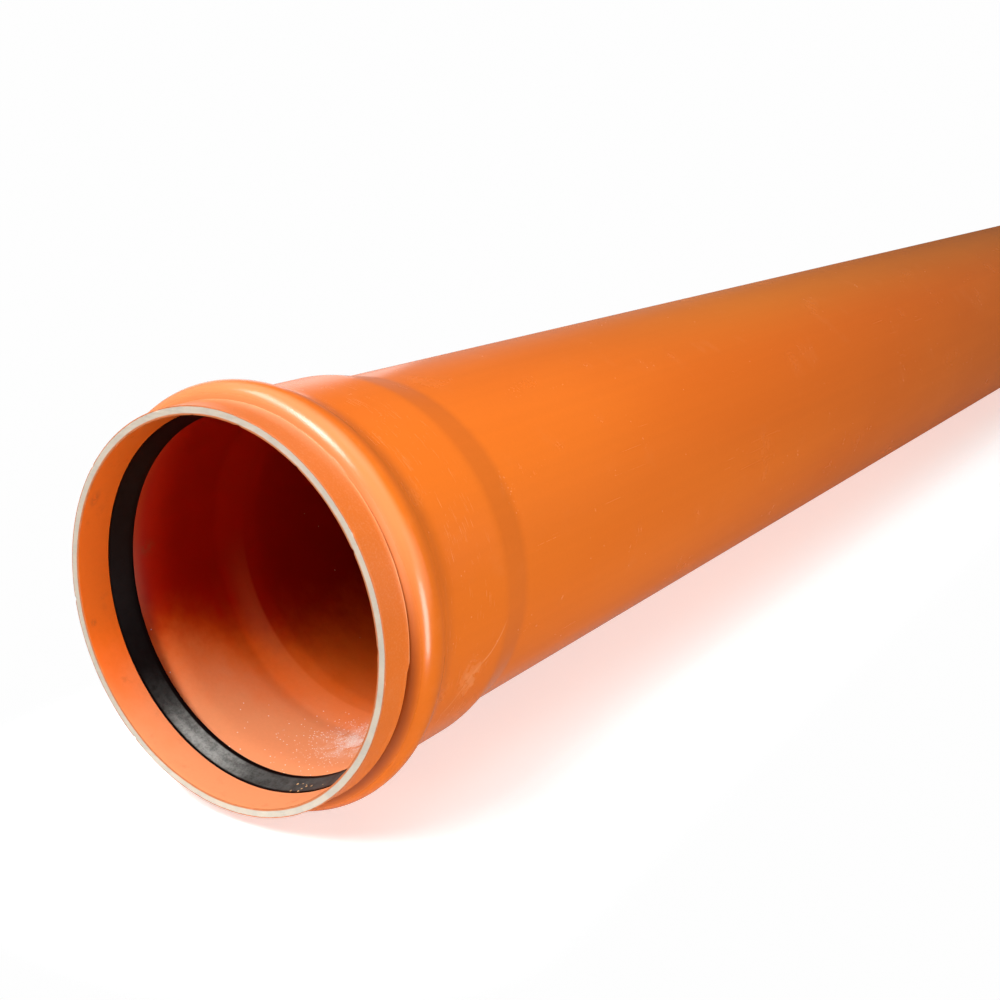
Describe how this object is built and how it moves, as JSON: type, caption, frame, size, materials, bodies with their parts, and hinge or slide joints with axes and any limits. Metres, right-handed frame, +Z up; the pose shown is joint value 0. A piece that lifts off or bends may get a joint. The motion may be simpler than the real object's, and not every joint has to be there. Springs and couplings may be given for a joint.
{
  "type": "pvc sewer pipe",
  "caption": "Plastic drain and sewer pipe with a formed socket, a ring bead holding a rubber sealing ring, and a chamfered plain end.",
  "frame": {"origin": "on the floor under the middle of the pipe's length, midway between its sides", "axes": "+Y along the pipe from the socket's mouth to the plain end, +Z up, +X to the right seen from the socket; the pipe lies on its bead and on its plain end, so its own axis falls 0.37 degrees towards +Y"},
  "size_m": [0.2264, 2.0998, 0.2264],
  "materials": {
    "pvc_orange": "semi-gloss, with a pale core on the sawn ends",
    "ring_rubber": "matt, dusty"
  },
  "bodies": {
    "root": {"pipe": "pvc_orange", "sealing_ring": "ring_rubber"}
  },
  "joints": []
}
